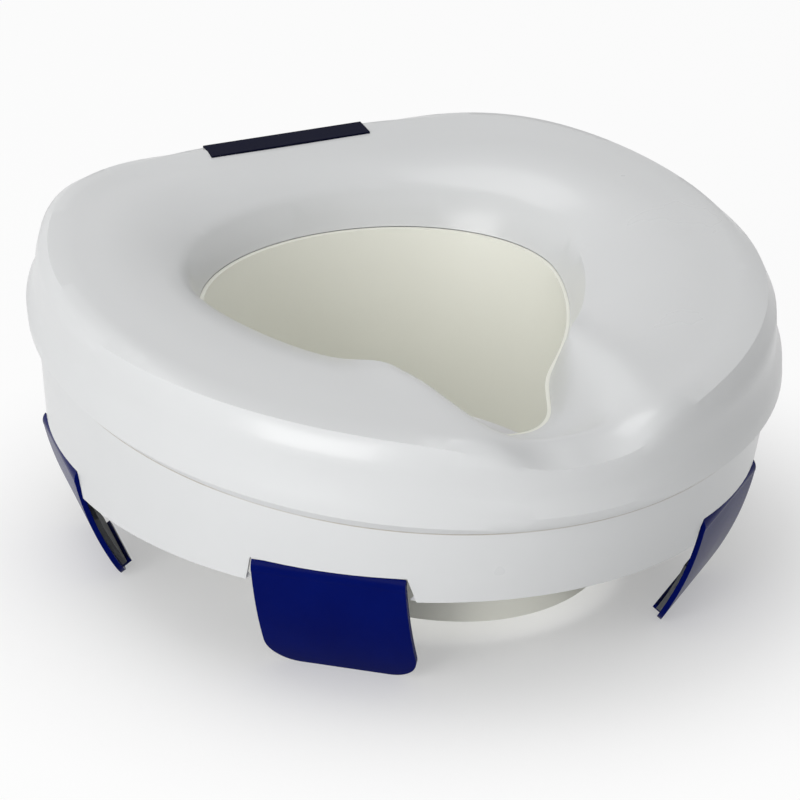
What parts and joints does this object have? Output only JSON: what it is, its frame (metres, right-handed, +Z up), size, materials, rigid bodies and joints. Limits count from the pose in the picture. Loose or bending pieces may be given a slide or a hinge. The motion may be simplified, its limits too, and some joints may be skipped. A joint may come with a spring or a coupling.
{
  "type": "raised toilet seat",
  "caption": "Raised seat for a toilet bowl: domed ring on a deep skirt, splash guard in the opening, hinged side clips with grip pads.",
  "frame": {"origin": "middle of the box, at the tips of the clips", "axes": "+Z up, -Y to the front where the trough is, +X to the right"},
  "size_m": [0.4123, 0.418, 0.184],
  "materials": {
    "shell_white": "satin",
    "guard_cream": "satin",
    "badge_navy": "satin",
    "clip_navy": "gloss",
    "pad_grey": "matt",
    "steel": "plain"
  },
  "bodies": {
    "shell": {"seat_top": "shell_white", "base_shell": "shell_white", "splash_guard": "guard_cream", "rear_badge": "badge_navy", "shell_screws": "steel", "clip_pin_front_right": "steel", "clip_pin_front_left": "steel", "clip_pin_side_right": "steel", "clip_pin_side_left": "steel"},
    "clip_front_right_body": {"clip_front_right": "clip_navy", "grip_pad_front_right": "pad_grey"},
    "clip_front_left_body": {"clip_front_left": "clip_navy", "grip_pad_front_left": "pad_grey"},
    "clip_side_right_body": {"clip_side_right": "clip_navy", "grip_pad_side_right": "pad_grey"},
    "clip_side_left_body": {"clip_side_left": "clip_navy", "grip_pad_side_left": "pad_grey"}
  },
  "joints": [
    {"name": "clip_front_right_hinge", "type": "hinge", "parent": "shell", "child": "clip_front_right_body", "pos_m": [0.11528, -0.13673, 0.06635], "axis": [-0.7404, -0.6722, 0], "range_deg": [0, 28], "stiffness_Nm_per_rad": 0.6},
    {"name": "clip_front_left_hinge", "type": "hinge", "parent": "shell", "child": "clip_front_left_body", "pos_m": [-0.11528, -0.13673, 0.06635], "axis": [-0.7404, 0.6722, 0], "range_deg": [0, 28], "stiffness_Nm_per_rad": 0.6},
    {"name": "clip_side_right_hinge", "type": "hinge", "parent": "shell", "child": "clip_side_right_body", "pos_m": [0.18396, 0.06889, 0.06635], "axis": [0.1456, -0.9893, 0], "range_deg": [0, 28], "stiffness_Nm_per_rad": 0.6},
    {"name": "clip_side_left_hinge", "type": "hinge", "parent": "shell", "child": "clip_side_left_body", "pos_m": [-0.18396, 0.06889, 0.06635], "axis": [0.1456, 0.9893, 0], "range_deg": [0, 28], "stiffness_Nm_per_rad": 0.6}
  ]
}
